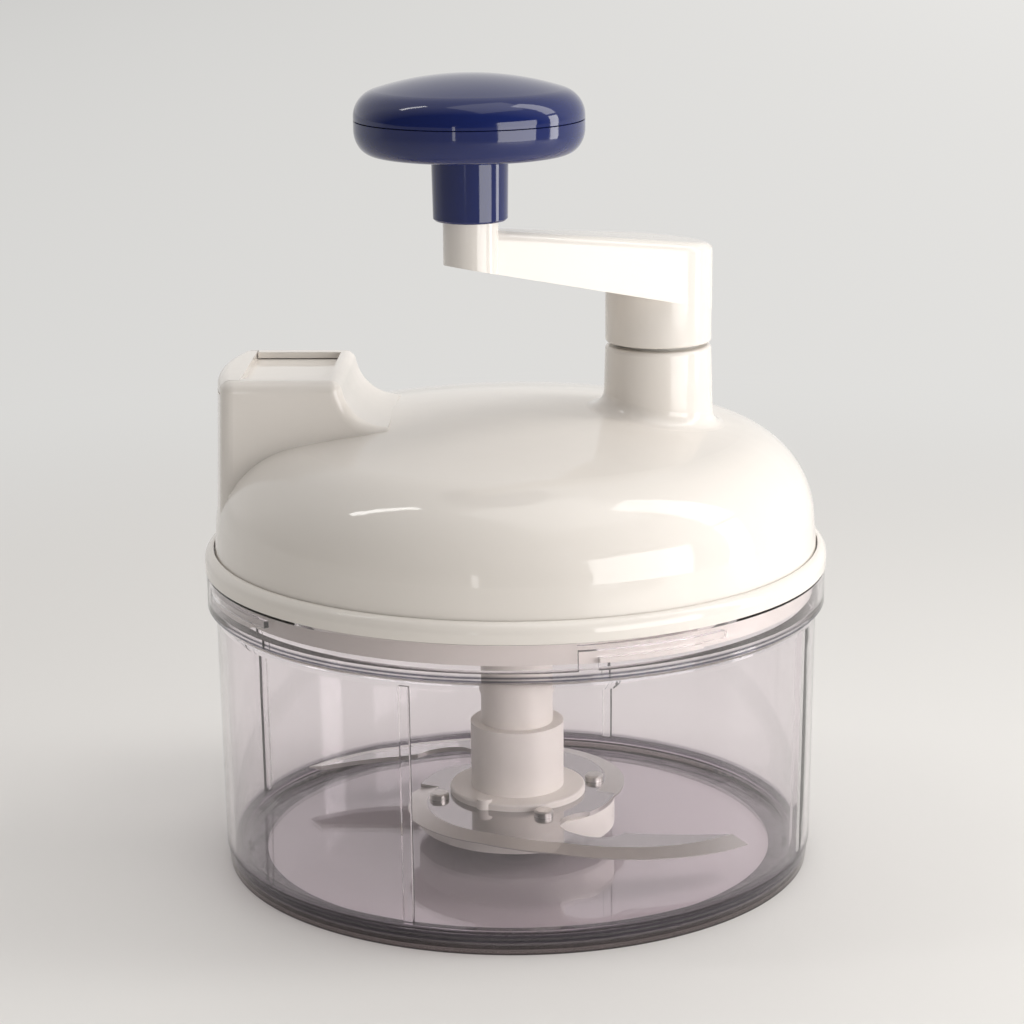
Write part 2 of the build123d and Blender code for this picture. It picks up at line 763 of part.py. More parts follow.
with BuildPart() as pinion:
    with BuildSketch(Plane.XY.offset(gear_low)):
        Polygon(*gear_points(pinion_teeth, 180 / pinion_teeth), align=None)
    extrude(amount=gear_width)
    turned(
        [
            (0, drive_bush_low),
            (journal_radius, drive_bush_low),
            (journal_radius, gear_low),
            (pivot_spigot_radius, gear_top),
            (pivot_spigot_radius, gear_top + pivot_spigot_length),
            (0, gear_top + pivot_spigot_length),
        ]
    )
    with BuildSketch(Plane.XY.offset(drive_bush_low)):
        hexagon(dog_hex)
    extrude(amount=-dog_length)
finish(pinion, "pinion")

# ================================================================ crank arm
# One moulding: round boss over the neck, a deep arm that narrows and rises towards its end, and
# a round post with the spindle that the knob turns on.
arm_direction = (cos(radians(crank_angle)), sin(radians(crank_angle)), 0)
arm_plane = Plane(origin=(crank_x, 0, 0), x_dir=arm_direction, z_dir=(0, 0, 1))
arm_across = (arm_direction[1], -arm_direction[0], 0)
arm_side_plane = Plane(origin=(crank_x, 0, 0), x_dir=arm_direction, z_dir=arm_across)
knob_place = on_circle((crank_x, 0), crank_length, crank_angle)
top_slope = (arm_top_at_post - arm_top_at_boss) / crank_length
low_slope = arm_rise / crank_length
profile_start, profile_end = -2 * boss_radius, crank_length + boss_radius
with BuildPart() as over_the_underside:
    with BuildSketch(arm_side_plane):
        with BuildLine():
            Polyline(
                (profile_start, arm_low_at_boss + profile_start * low_slope),
                (profile_end, arm_low_at_boss + profile_end * low_slope),
                (profile_end, spindle_top),
                (profile_start, spindle_top),
                close=True,
            )
        make_face()
    extrude(amount=2 * boss_radius, both=True)

with BuildPart() as crank_arm:
    with BuildSketch(arm_plane.offset(boss_low)):
        Circle(boss_radius + arm_overhang)
        with Locations((crank_length, 0)):
            Circle(arm_end_radius)
        make_hull()
    extrude(amount=spindle_top - boss_low)
    with BuildSketch(arm_side_plane):
        with BuildLine():
            Polyline(
                (profile_start, boss_low),
                (profile_end, boss_low),
                (profile_end, arm_top_at_boss + profile_end * top_slope),
                (profile_start, arm_top_at_boss + profile_start * top_slope),
                close=True,
            )
        make_face()
    extrude(amount=2 * boss_radius, both=True, mode=Mode.INTERSECT)
    fillet(crank_arm.faces().sort_by(Axis.Z)[-1].edges(), arm_edge)
    turned(
        [
            (0, boss_low),
            (post_radius, boss_low),
            (post_radius, post_top),
            (spindle_radius, post_top),
            (spindle_radius, spindle_top),
            (0, spindle_top),
        ],
        knob_place,
    )
    add(over_the_underside.part, mode=Mode.INTERSECT)
    with BuildSketch(arm_plane.offset(boss_low)):
        Circle(boss_radius)
    extrude(amount=arm_low_at_boss + boss_radius - boss_low)
    fillet(crank_arm.edges().group_by(Axis.Z)[0], boss_edge)
    with BuildSketch(arm_plane.offset(boss_low)):
        Circle(shaft_radius)
    extrude(amount=shaft_grip_depth, mode=Mode.SUBTRACT)
    with BuildSketch(Plane.XY.offset(spindle_top)):
        with Locations(knob_place):
            Circle(knob_screw_radius)
    extrude(amount=-knob_screw_length, mode=Mode.SUBTRACT)
finish(crank_arm, "crank_arm")

# ================================================================ drive shaft and its fixings
# Steel shaft pressed into the crank's boss. Its lower end is a hexagon that carries the gear,
# held on by a screw and a washer. A thrust washer runs against the bush.
with BuildPart() as drive_shaft:
    with BuildSketch(Plane.XY.offset(hub_top)):
        with Locations((crank_x, 0)):
            Circle(shaft_radius)
    extrude(amount=shaft_top - hub_top)
    with BuildSketch(Plane.XY.offset(gear_low)):
        with Locations((crank_x, 0)):
            hexagon(shaft_hex)
    extrude(amount=hub_top - gear_low)
    with BuildSketch(Plane.XY.offset(gear_low)):
        with Locations((crank_x, 0)):
            Circle(gear_screw_radius)
    extrude(amount=gear_screw_length, mode=Mode.SUBTRACT)
finish(drive_shaft, "drive_shaft")

with BuildPart() as thrust_washer:
    with BuildSketch(Plane.XY.offset(hub_top)):
        with Locations((crank_x, 0)):
            Circle(gear_hub_radius)
            Circle(shaft_radius, mode=Mode.SUBTRACT)
    extrude(amount=bush_low - end_play - hub_top)
finish(thrust_washer, "thrust_washer")

with BuildPart() as gear_washer:
    with BuildSketch(Plane.XY.offset(gear_low)):
        with Locations((crank_x, 0)):
            Circle(washer_radius)
            Circle(gear_screw_radius, mode=Mode.SUBTRACT)
    extrude(amount=-washer_thickness)
finish(gear_washer, "gear_washer")

with BuildPart() as gear_screw:
    screw_seat = gear_low - washer_thickness
    turned(
        [
            (0, screw_seat - gear_screw_head),
            (gear_screw_head_radius - gear_screw_head / 4, screw_seat - gear_screw_head),
            (gear_screw_head_radius, screw_seat - gear_screw_head / 2),
            (gear_screw_head_radius, screw_seat),
            (gear_screw_radius, screw_seat),
            (gear_screw_radius, gear_low + gear_screw_length),
            (0, gear_low + gear_screw_length),
        ],
        (crank_x, 0),
    )
finish(gear_screw, "gear_screw")

# ================================================================ knob
# Mushroom knob in two halves: a body with the long sleeve, and a cap pressed into it that hides
# the screw. A washer under the screw's head keeps the knob on its spindle.
cap_plug_radius = knob_radius - knob_wall
body_top = knob_seam - knob_seam_gap / 2
cap_low = knob_seam + knob_seam_gap / 2
knob_plane = Plane(origin=(knob_place[0], knob_place[1], 0), x_dir=(1, 0, 0), z_dir=(0, -1, 0))
knob_axis = Axis((knob_place[0], knob_place[1], 0), (0, 0, 1))
with BuildPart() as knob_body:
    with BuildSketch(knob_plane):
        with BuildLine():
            Polyline(
                (spindle_radius + running_gap, sleeve_low),
                (sleeve_radius - sleeve_edge, sleeve_low),
                (sleeve_radius, sleeve_low + sleeve_edge),
                (sleeve_radius + sleeve_draft, knob_under),
                (knob_radius - knob_under_edge, knob_under + knob_under_rise),
            )
            EllipticalCenterArc(
                center=(knob_radius - knob_under_edge, knob_side_low),
                x_radius=knob_under_edge,
                y_radius=knob_side_low - knob_under - knob_under_rise,
                start_angle=270,
                arc_size=90,
            )
            Polyline(
                (knob_radius, knob_side_low),
                (knob_radius, body_top),
                (cap_plug_radius, body_top),
                (cap_plug_radius, cup_floor + knob_floor),
                (cap_plug_radius - knob_floor, cup_floor),
                (spindle_radius + running_gap, cup_floor),
                (spindle_radius + running_gap, sleeve_low),
            )
        make_face()
    revolve(axis=knob_axis)
finish(knob_body, "knob_body")

with BuildPart() as knob_cap:
    outside = crowned(knob_radius, knob_corner_radius, knob_crown_radius, knob_top)
    inside = crowned(knob_radius, knob_corner_radius, knob_crown_radius, knob_top, inset=cap_wall)
    with BuildSketch(knob_plane):
        with BuildLine():
            Polyline(
                outside[0],
                (knob_radius, cap_low),
                (knob_radius - knob_seam_depth, body_top),
                (cap_plug_radius, body_top),
                (cap_plug_radius, body_top - cap_plug_depth),
                (cap_plug_radius - knob_wall, body_top - cap_plug_depth),
                inside[0],
            )
            ThreePointArc(*inside[0:3])
            ThreePointArc(*inside[2:5])
            Line(inside[4], outside[4])
            ThreePointArc(*outside[0:3])
            ThreePointArc(*outside[2:5])
        make_face()
    revolve(axis=knob_axis)
finish(knob_cap, "knob_cap")

with BuildPart() as knob_washer:
    with BuildSketch(Plane.XY.offset(spindle_top)):
        with Locations(knob_place):
            Circle(washer_radius)
            Circle(knob_screw_radius, mode=Mode.SUBTRACT)
    extrude(amount=washer_thickness)
finish(knob_washer, "knob_washer")

with BuildPart() as knob_screw:
    knob_screw_seat = spindle_top + washer_thickness
    turned(
        [
            (0, spindle_top - knob_screw_length),
            (knob_screw_radius, spindle_top - knob_screw_length),
            (knob_screw_radius, knob_screw_seat),
            (knob_screw_head_radius, knob_screw_seat),
            (knob_screw_head_radius, knob_screw_seat + knob_screw_head / 2),
            (knob_screw_head_radius - knob_screw_head / 4, knob_screw_seat + knob_screw_head),
            (0, knob_screw_seat + knob_screw_head),
        ],
        knob_place,
    )
finish(knob_screw, "knob_screw")

# ================================================================ spindle tube
# White tube that carries the blade set. Its hexagonal socket takes the pinion's dog, and its
# long bore turns on the pivot pin.
with BuildPart() as spindle_tube:
    with BuildSketch(Plane.XY.offset(tube_end)):
        Circle(spindle_tube_radius)
        Circle(pivot_radius + running_gap, mode=Mode.SUBTRACT)
    extrude(amount=tube_top - tube_end)
    with BuildSketch(Plane.XY.offset(tube_top)):
        hexagon(dog_hex + 2 * running_gap)
    extrude(amount=-dog_length, mode=Mode.SUBTRACT)
finish(spindle_tube, "spindle_tube")

# ================================================================ blade carrier
# Sleeve and flange that clamp the blade, with two bayonet lugs at the flange's edge.
with BuildPart() as blade_carrier:
    with BuildSketch(Plane.XY.offset(blade_top)):
        Circle(hub_flange_radius)
    extrude(amount=hub_flange)
    fillet(blade_carrier.edges().group_by(Axis.Z)[-1], hub_flange / 3)
    with BuildSketch(Plane.XY.offset(blade_top)):
        Circle(sleeve_hub_radius)
        with PolarLocations(hub_flange_radius - hub_lug_radius / 2, 2, start_angle=hub_lug_angle):
            Circle(hub_lug_radius)
    extrude(amount=hub_flange + hub_lug_rise)
    with BuildSketch(Plane.XY.offset(blade_top)):
        Circle(sleeve_hub_radius)
    extrude(amount=sleeve_hub_top - blade_top)
    with BuildSketch(Plane.XY.offset(blade_top)):
        Circle(spindle_tube_radius)
    extrude(amount=sleeve_hub_top - blade_top, mode=Mode.SUBTRACT)
finish(blade_carrier, "blade_carrier")

# ================================================================ blade
# S-shaped steel blade: a round middle with two curved arms that droop towards their tips. The
# outer, leading edge of each arm has a wide ground bevel.
def arm_point(share):
    """Point of a blade arm's outline, from its shares of the tip's radius."""
    return (share[0] * blade_tip_radius, share[1] * blade_tip_radius)


def blade_arm(plane):
    """One arm's outline on a plane whose x runs to its tip. Its root lies inside the round middle."""
    with BuildSketch(plane) as arm:
        with BuildLine():
            ThreePointArc(arm_point(arm_root), arm_point(arm_shoulder), arm_point(arm_front))
            ThreePointArc(arm_point(arm_front), arm_point(arm_belly), arm_point(arm_tip))
            Line(arm_point(arm_tip), arm_point(arm_heel))
            ThreePointArc(arm_point(arm_heel), arm_point(arm_hollow), arm_point(arm_throat))
            Polyline(arm_point(arm_throat), (0, 0), arm_point(arm_root))
        make_face()
    return arm.sketch


def grind(shares, along_from, along_to, across_to):
    """Cut of the bevel along one arc of an arm's leading edge, on a plane at the blade's top.

    The arc is given by three shares, and the cut is a cone about the arc's centre. It runs
    between two places along the arm, up to a place across it.
    """
    with BuildLine():
        edge_arc = ThreePointArc(*[arm_point(share) for share in shares])
    centre, radius = edge_arc.arc_center, edge_arc.radius
    with BuildPart() as cut:
        turned(
            [
                (radius - blade_bevel_width, 0),
                (radius + blade_bevel_width, -2 * blade_bevel_depth),
                (radius + blade_bevel_width, blade_thickness),
                (radius - blade_bevel_width, blade_thickness),
            ],
            (centre.X, centre.Y),
        )
        with BuildSketch(Plane.XY.offset(-2 * blade_bevel_depth)):
            with BuildLine():
                Polyline(
                    (along_from, across_to),
                    (along_from, -2 * blade_tip_radius),
                    (along_to, -2 * blade_tip_radius),
                    (along_to, across_to),
                    close=True,
                )
            make_face()
        extrude(amount=2 * blade_bevel_depth + blade_thickness, mode=Mode.INTERSECT)
    return cut.part


blade_along = (cos(radians(blade_tip_angle)), sin(radians(blade_tip_angle)), 0)
blade_droop = (blade_tip_radius - blade_bend_radius) * tan(radians(blade_droop_angle))
blade_side_plane = Plane(
    origin=(0, 0, blade_low), x_dir=blade_along, z_dir=(blade_along[1], -blade_along[0], 0)
)
with BuildPart() as blade:
    with BuildSketch(Plane.XY.offset(blade_low - blade_droop)):
        Circle(blade_disc_radius)
        for arm_turn in (blade_tip_angle, blade_tip_angle + 180):
            add(blade_arm(Plane.XY.rotated((0, 0, arm_turn))))
        for arm_turn in (blade_tip_angle, blade_tip_angle + 180):
            with Locations(Rotation(0, 0, arm_turn) * Location((*arm_point(notch_centre), 0))):
                Circle(notch_radius, mode=Mode.SUBTRACT)
        Circle(spindle_tube_radius, mode=Mode.SUBTRACT)
        with PolarLocations(rivet_circle, rivet_count, start_angle=rivet_start_angle):
            Circle(rivet_shank_radius, mode=Mode.SUBTRACT)
    extrude(amount=blade_droop + blade_thickness)
    with BuildSketch(blade_side_plane):
        with BuildLine():
            Polyline(
                (-blade_tip_radius, -blade_droop),
                (-blade_bend_radius, 0),
                (blade_bend_radius, 0),
                (blade_tip_radius, -blade_droop),
                (blade_tip_radius, blade_thickness - blade_droop),
                (blade_bend_radius, blade_thickness),
                (-blade_bend_radius, blade_thickness),
                (-blade_tip_radius, blade_thickness - blade_droop),
                close=True,
            )
        make_face()
    extrude(amount=blade_tip_radius, both=True, mode=Mode.INTERSECT)
    root_y, front_x = arm_point(arm_root)[1], arm_point(arm_front)[0]
    shoulder_grind = grind((arm_root, arm_shoulder, arm_front), -blade_tip_radius, front_x, root_y)
    flat_grind = grind((arm_front, arm_belly, arm_tip), front_x, blade_bend_radius, 0)
    drooped_grind = grind((arm_front, arm_belly, arm_tip), blade_bend_radius, 2 * blade_tip_radius, 0)
    bend = Location((blade_bend_radius, 0, 0)) * Rotation(0, blade_droop_angle, 0)
    bend = bend * Location((-blade_bend_radius, 0, 0))
    for arm_turn in (blade_tip_angle, blade_tip_angle + 180):
        arm_top = Location((0, 0, blade_top)) * Rotation(0, 0, arm_turn)
        for cut in (arm_top * shoulder_grind, arm_top * flat_grind, arm_top * bend * drooped_grind):
            add(cut, mode=Mode.SUBTRACT)
finish(blade, "blade")

# ================================================================ hub puck
# Thick white disc under the blade, hollow from below, with a hub that takes the spindle tube.
with BuildPart() as hub_puck:
    with BuildSketch(Plane.XY.offset(puck_low)):
        Circle(puck_radius)
    extrude(amount=puck_height)
    with BuildSketch(Plane.XY.offset(puck_low)):
        Circle(puck_radius - puck_wall)
    extrude(amount=puck_height - puck_deck, mode=Mode.SUBTRACT)
    with BuildSketch(Plane.XY.offset(tube_end)):
        Circle(puck_hub_radius)
        with PolarLocations(rivet_circle, rivet_count, start_angle=rivet_start_angle):
            Circle(rivet_shank_radius + puck_wall)
    extrude(amount=puck_low + puck_height - tube_end)
    with BuildSketch(Plane.XY.offset(tube_end)):
        Circle(spindle_tube_radius)
        with PolarLocations(rivet_circle, rivet_count, start_angle=rivet_start_angle):
            Circle(rivet_shank_radius)
    extrude(amount=puck_height, mode=Mode.SUBTRACT)
finish(hub_puck, "hub_puck")

# ================================================================ blade rivets
# Four steel rivets that hold the blade to the puck.
with BuildPart() as blade_rivets:
    for rivet in range(rivet_count):
        rivet_angle = rivet_start_angle + 360 / rivet_count * rivet
        turned(
            [
                (0, tube_end),
                (rivet_shank_radius, tube_end),
                (rivet_shank_radius, blade_top),
                (rivet_radius, blade_top),
                (rivet_radius, blade_top + rivet_head - rivet_head / 4),
                (rivet_radius - rivet_head / 4, blade_top + rivet_head),
                (0, blade_top + rivet_head),
            ],
            on_circle((0, 0), rivet_circle, rivet_angle),
        )
finish(blade_rivets, "blade_rivets")
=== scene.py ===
"""Looks of a hand-cranked food chopper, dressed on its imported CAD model. Metres, +Z up.

Section by section, as the chopper is put together: the clear bowl on its foot ring, the geared lid,
the crank with its knob, the blade unit, and then the pale room that it stands in.
"""

import bpy
import numpy as np
from mathutils import Matrix, Vector

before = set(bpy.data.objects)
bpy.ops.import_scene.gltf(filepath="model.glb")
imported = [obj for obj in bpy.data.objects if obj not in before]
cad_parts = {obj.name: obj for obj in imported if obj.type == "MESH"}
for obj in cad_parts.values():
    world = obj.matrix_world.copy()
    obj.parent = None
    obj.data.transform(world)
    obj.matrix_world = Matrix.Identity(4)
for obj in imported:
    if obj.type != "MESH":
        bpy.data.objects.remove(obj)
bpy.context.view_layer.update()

# ------------------------------------------------------------------------------------------ bowl
# The bowl is moulded in one piece from clear plastic with a smoke tint, polished in the mould and
# faintly rubbed by use. Its tint is darker at the floor as painted shade, for the table's shadow
# under the bowl. A dark line painted at the steps round the floor is painted shade for the light
# that the steps bend away, and a dark line painted along the lip's lower edge is a painted
# reflection of dim surroundings.
bowl_height = 0.08336
# Heights and tints: the smoke tint, painted shade at the floor and painted dark lines at the steps
# and the lip.
bowl_tints_and_painted_shade = (
    (0.0012, (0.85, 0.80, 0.84)),
    (0.0058, (0.82, 0.77, 0.81)),
    (0.0061, (0.42, 0.39, 0.43)),
    (0.0066, (0.42, 0.39, 0.43)),
    (0.0070, (0.88, 0.84, 0.87)),
    (0.0100, (0.91, 0.88, 0.90)),
    (0.0200, (0.935, 0.905, 0.925)),
    (0.0736, (0.93, 0.90, 0.92)),
    (0.0737, (0.03, 0.03, 0.045)),
    (0.0745, (0.03, 0.03, 0.045)),
    (0.0746, (0.93, 0.90, 0.92)),
)
bowl_tint_for_lamps = (0.97, 0.955, 0.965)


def finish_of(name, colour, roughness, **more):
    """A new material with one shader. Its even values go straight on the shader's sockets."""
    material = bpy.data.materials.new(name)
    material.use_nodes = True
    shader = material.node_tree.nodes["Principled BSDF"]
    shader.inputs["Base Color"].default_value = (*colour, 1.0)
    shader.inputs["Roughness"].default_value = roughness
    for socket, value in more.items():
        shader.inputs[socket.replace("_", " ")].default_value = value
    return material


def add_node(material, kind, **values):
    """A node of the material, with its input sockets set by name."""
    node = material.node_tree.nodes.new(kind)
    for socket, value in values.items():
        node.inputs[socket.replace("_", " ")].default_value = value
    return node


def on_the_piece(material, stretch=(1.0, 1.0, 1.0), turn=0.0):
    """Object coordinates, stretched along the axes and turned about Z by an angle in radians."""
    place = add_node(material, "ShaderNodeTexCoord")
    mapping = add_node(material, "ShaderNodeMapping", Scale=stretch, Rotation=(0.0, 0.0, turn))
    material.node_tree.links.new(place.outputs["Object"], mapping.inputs["Vector"])
    return mapping.outputs["Vector"]


def cloudy(material, size, detail=3.0, stretch=(1.0, 1.0, 1.0), turn=0.0):
    """Noise with spots of about that size in metres, from 0 to 1."""
    noise = add_node(material, "ShaderNodeTexNoise", Scale=1.0 / size, Detail=detail, Roughness=0.6)
    material.node_tree.links.new(on_the_piece(material, stretch, turn), noise.inputs["Vector"])
    return noise.outputs["Fac"]


def spread(material, socket, low, high, from_low=0.3, from_high=0.7):
    """A pattern's range of values, from_low to from_high, carried over to low and high."""
    ramp = add_node(material, "ShaderNodeMapRange", From_Min=from_low, From_Max=from_high)
    ramp.inputs["To Min"].default_value = low
    ramp.inputs["To Max"].default_value = high
    material.node_tree.links.new(socket, ramp.inputs["Value"])
    return ramp.outputs["Result"]


def shader_input(material, name, socket):
    """Leads a pattern into the shader's named input."""
    shader = material.node_tree.nodes["Principled BSDF"]
    material.node_tree.links.new(socket, shader.inputs[name])


def raise_surface(material, *heights):
    """Bumps the surface by patterns, each with a depth in metres, one bump node after the other."""
    normal = None
    for socket, depth in heights:
        bump = add_node(material, "ShaderNodeBump", Strength=1.0, Distance=depth)
        material.node_tree.links.new(socket, bump.inputs["Height"])
        if normal:
            material.node_tree.links.new(normal, bump.inputs["Normal"])
        normal = bump.outputs["Normal"]
    shader_input(material, "Normal", normal)


def two_tones(material, socket, first, second):
    """Base colour that runs from the first tone to the second as the pattern goes from 0 to 1.

    Returns the node that mixes them.
    """
    mix = material.node_tree.nodes.new("ShaderNodeMix")
    mix.data_type = "RGBA"
    material.node_tree.links.new(socket, mix.inputs[0])
    mix.inputs[6].default_value = (*first, 1.0)
    mix.inputs[7].default_value = (*second, 1.0)
    shader_input(material, "Base Color", mix.outputs[2])
    return mix


def by_height(material, height, tints):
    """Colour that follows the height above the table: tints are (height, colour) pairs."""
    axes = add_node(material, "ShaderNodeSeparateXYZ")
    material.node_tree.links.new(on_the_piece(material), axes.inputs["Vector"])
    share = spread(material, axes.outputs["Z"], 0.0, 1.0, 0.0, height)
    ramp = add_node(material, "ShaderNodeValToRGB")
    stops = ramp.color_ramp.elements
    while len(stops) < len(tints):
        stops.new(1.0)
    for stop, (above, colour) in zip(stops, tints):
        stop.position = above / height
        stop.color = (*colour, 1.0)
    material.node_tree.links.new(share, ramp.inputs["Fac"])
    return ramp.outputs["Color"]


def dress(material, *nodes):
    """Gives CAD nodes their material."""
    for node in nodes:
        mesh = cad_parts[node].data
        mesh.materials.clear()
        mesh.materials.append(material)


def let_lamps_through(material, tint):
    """Rays from the lamps pass the clear wall straight and tinted, and light what is inside."""
    nodes, links = material.node_tree.nodes, material.node_tree.links
    clear = nodes.new("ShaderNodeBsdfTransparent")
    clear.inputs["Color"].default_value = (*tint, 1.0)
    path = nodes.new("ShaderNodeLightPath")
    mix = nodes.new("ShaderNodeMixShader")
    links.new(path.outputs["Is Shadow Ray"], mix.inputs["Fac"])
    links.new(nodes["Principled BSDF"].outputs["BSDF"], mix.inputs[1])
    links.new(clear.outputs["BSDF"], mix.inputs[2])
    links.new(mix.outputs["Shader"], nodes["Material Output"].inputs["Surface"])


bowl_clear = finish_of("bowl_clear", bowl_tints_and_painted_shade[-1][1], 0.0, IOR=1.49, Transmission_Weight=1.0)
shader_input(bowl_clear, "Base Color", by_height(bowl_clear, bowl_height, bowl_tints_and_painted_shade))
rubbed = cloudy(bowl_clear, 0.030, detail=4.0)
shader_input(bowl_clear, "Roughness", spread(bowl_clear, rubbed, 0.0, 0.008, 0.50, 0.80))
flow = cloudy(bowl_clear, 0.018, detail=1.0)
raise_surface(bowl_clear, (flow, 0.000004))
let_lamps_through(bowl_clear, bowl_tint_for_lamps)
dress(bowl_clear, "bowl")

# ------------------------------------------------------------------------------------- foot ring
# A ring of soft smoky elastomer is stretched over the bowl's lower edge and keeps it from sliding.
# It is moulded with a satin face. It is near clear where it is thin under the floor. Its side is
# dark near the table, and above that it is painted with dark and pale lines: painted shade and
# painted highlights that stand in for the bowl's steps seen through it.
ring_height = 0.0058
ring_side_from, ring_side_to = 0.0784, 0.0788
ring_thin_tint = (0.94, 0.91, 0.93)
ring_tint_for_lamps = (0.80, 0.76, 0.77)
# Heights and tints: the side's own dark colour, then painted pale and dark lines for the steps
# above it.
ring_tints_and_painted_lines = (
    (0.0003, (0.10, 0.09, 0.09)),
    (0.0006, (0.33, 0.29, 0.28)),
    (0.0026, (0.36, 0.32, 0.31)),
    (0.0028, (0.97, 0.91, 0.93)),
    (0.0032, (0.97, 0.91, 0.93)),
    (0.0034, (0.13, 0.11, 0.15)),
    (0.0040, (0.13, 0.11, 0.15)),
    (0.0042, (0.97, 0.91, 0.93)),
    (0.0046, (0.97, 0.91, 0.93)),
    (0.0048, (0.16, 0.14, 0.18)),
    (0.0054, (0.16, 0.14, 0.18)),
    (0.0056, (0.86, 0.80, 0.83)),
)
ring_smoke = finish_of("ring_smoke", (0.30, 0.27, 0.26), 0.12, IOR=1.45, Transmission_Weight=0.95)
ring_place = add_node(ring_smoke, "ShaderNodeVectorMath")
ring_place.operation = "LENGTH"
ring_smoke.node_tree.links.new(on_the_piece(ring_smoke, (1.0, 1.0, 0.0)), ring_place.inputs[0])
ring_radius = ring_place.outputs["Value"]
ring_side = spread(ring_smoke, ring_radius, 0.0, 1.0, ring_side_from, ring_side_to)
ring_colour = two_tones(ring_smoke, ring_side, ring_thin_tint, ring_tints_and_painted_lines[1][1])
ring_side_and_painted_lines = by_height(ring_smoke, ring_height, ring_tints_and_painted_lines)
ring_smoke.node_tree.links.new(ring_side_and_painted_lines, ring_colour.inputs[7])
ring_dust = cloudy(ring_smoke, 0.020, detail=5.0, stretch=(1.0, 1.0, 20.0))
shader_input(ring_smoke, "Roughness", spread(ring_smoke, ring_dust, 0.04, 0.18))
raise_surface(ring_smoke, (cloudy(ring_smoke, 0.0012), 0.000006))
let_lamps_through(ring_smoke, ring_tint_for_lamps)
dress(ring_smoke, "base_ring")

# ------------------------------------------------------------------------------- pins and screws
# The pin in the bowl's floor, the crank's shaft and its washers and screws are turned from steel.
# Fine rings from the lathe tool and a trace of grease are left on them.


def mottle(material, pattern, first, second):
    """Base colour between two near tones, by the middle range of a pattern of clouds."""
    two_tones(material, spread(material, pattern, 0.0, 1.0), first, second)


turned_steel = finish_of("turned_steel", (0.66, 0.64, 0.61), 0.24, Metallic=1.0)
lathe_rings = cloudy(turned_steel, 0.004, detail=2.0, stretch=(1.0, 1.0, 25.0))
grease = cloudy(turned_steel, 0.008, detail=4.0)
shader_input(turned_steel, "Roughness", spread(turned_steel, grease, 0.16, 0.36))
mottle(turned_steel, grease, (0.70, 0.68, 0.65), (0.58, 0.56, 0.53))
raise_surface(turned_steel, (lathe_rings, 0.00003))
dress(turned_steel, "pivot_pin", "lid_screws", "drive_shaft", "gear_washer", "gear_screw")
dress(turned_steel, "knob_washer", "knob_screw")

# ------------------------------------------------------------------------------------------- lid
# The lid, its sliding chute cover and the crank are moulded from glossy white plastic with a warm
# tone. The gloss has a faint ripple from the mould, and hands have left dull smears and fine
# diagonal scratches on the dome.
lid_white = finish_of("lid_white", (0.86, 0.815, 0.765), 0.06, IOR=1.5)
lid_tone = cloudy(lid_white, 0.09, detail=2.0)
mottle(lid_white, lid_tone, (0.835, 0.788, 0.735), (0.862, 0.815, 0.765))
smears = cloudy(lid_white, 0.022, detail=5.0)
lid_scratches = cloudy(lid_white, 0.010, detail=2.0, stretch=(14.0, 0.7, 1.0), turn=0.6)
mould_ripple = cloudy(lid_white, 0.012, detail=1.0)
mould_grain = cloudy(lid_white, 0.0011, detail=2.0)
shader_input(lid_white, "Roughness", spread(lid_white, smears, 0.035, 0.10, 0.35, 0.75))
raise_surface(
    lid_white,
    (spread(lid_white, mould_ripple, 0.0, 1.0), 0.000035),
    (mould_grain, 0.0000015),
    (spread(lid_white, lid_scratches, 0.0, 1.0, 0.72, 0.80), 0.000006),
)
dress(lid_white, "lid_base", "lid_dome", "chute_cover", "crank_arm")

# -------------------------------------------------------------------------------- gears and bushes
# The gears and the bushes under the lid are moulded from acetal, a slippery off-white plastic with
# a dull, slightly waxy face. The bushes are a shade greyer.
gear_acetal = finish_of("gear_acetal", (0.74, 0.73, 0.69), 0.42, IOR=1.48, Subsurface_Weight=0.05)
gear_wax = cloudy(gear_acetal, 0.005, detail=4.0)
shader_input(gear_acetal, "Roughness", spread(gear_acetal, gear_wax, 0.34, 0.52))
mottle(gear_acetal, gear_wax, (0.76, 0.75, 0.71), (0.70, 0.69, 0.64))
raise_surface(gear_acetal, (cloudy(gear_acetal, 0.0008), 0.00001))
dress(gear_acetal, "drive_gear", "pinion")

bush_acetal = finish_of("bush_acetal", (0.52, 0.50, 0.47), 0.45, IOR=1.48)
bush_wear = cloudy(bush_acetal, 0.004, detail=4.0, stretch=(1.0, 1.0, 6.0))
shader_input(bush_acetal, "Roughness", spread(bush_acetal, bush_wear, 0.28, 0.52))
mottle(bush_acetal, bush_wear, (0.55, 0.53, 0.50), (0.46, 0.44, 0.41))
raise_surface(bush_acetal, (cloudy(bush_acetal, 0.0007), 0.00001))
dress(bush_acetal, "crank_bush", "drive_bush", "thrust_washer")

# ------------------------------------------------------------------------------------------ knob
# The mushroom knob is two mouldings in deep navy, high-gloss plastic, pressed together at the line
# round its side. Turning in the hand has left hair-fine circular scratches.
knob_navy = finish_of("knob_navy", (0.006, 0.012, 0.095), 0.05, IOR=1.52)
knob_tone = cloudy(knob_navy, 0.05, detail=2.0)
mottle(knob_navy, knob_tone, (0.006, 0.014, 0.095), (0.009, 0.018, 0.112))
knob_smears = cloudy(knob_navy, 0.012, detail=5.0)
shader_input(knob_navy, "Roughness", spread(knob_navy, knob_smears, 0.035, 0.13, 0.4, 0.8))
knob_ripple = cloudy(knob_navy, 0.015, detail=1.0)
knob_hairs = cloudy(knob_navy, 0.006, detail=3.0, stretch=(1.0, 1.0, 18.0))
knob_hair_lines = spread(knob_navy, knob_hairs, 0.0, 1.0, 0.7, 0.8)
raise_surface(knob_navy, (knob_ripple, 0.00003), (knob_hair_lines, 0.000003))
dress(knob_navy, "knob_body", "knob_cap")

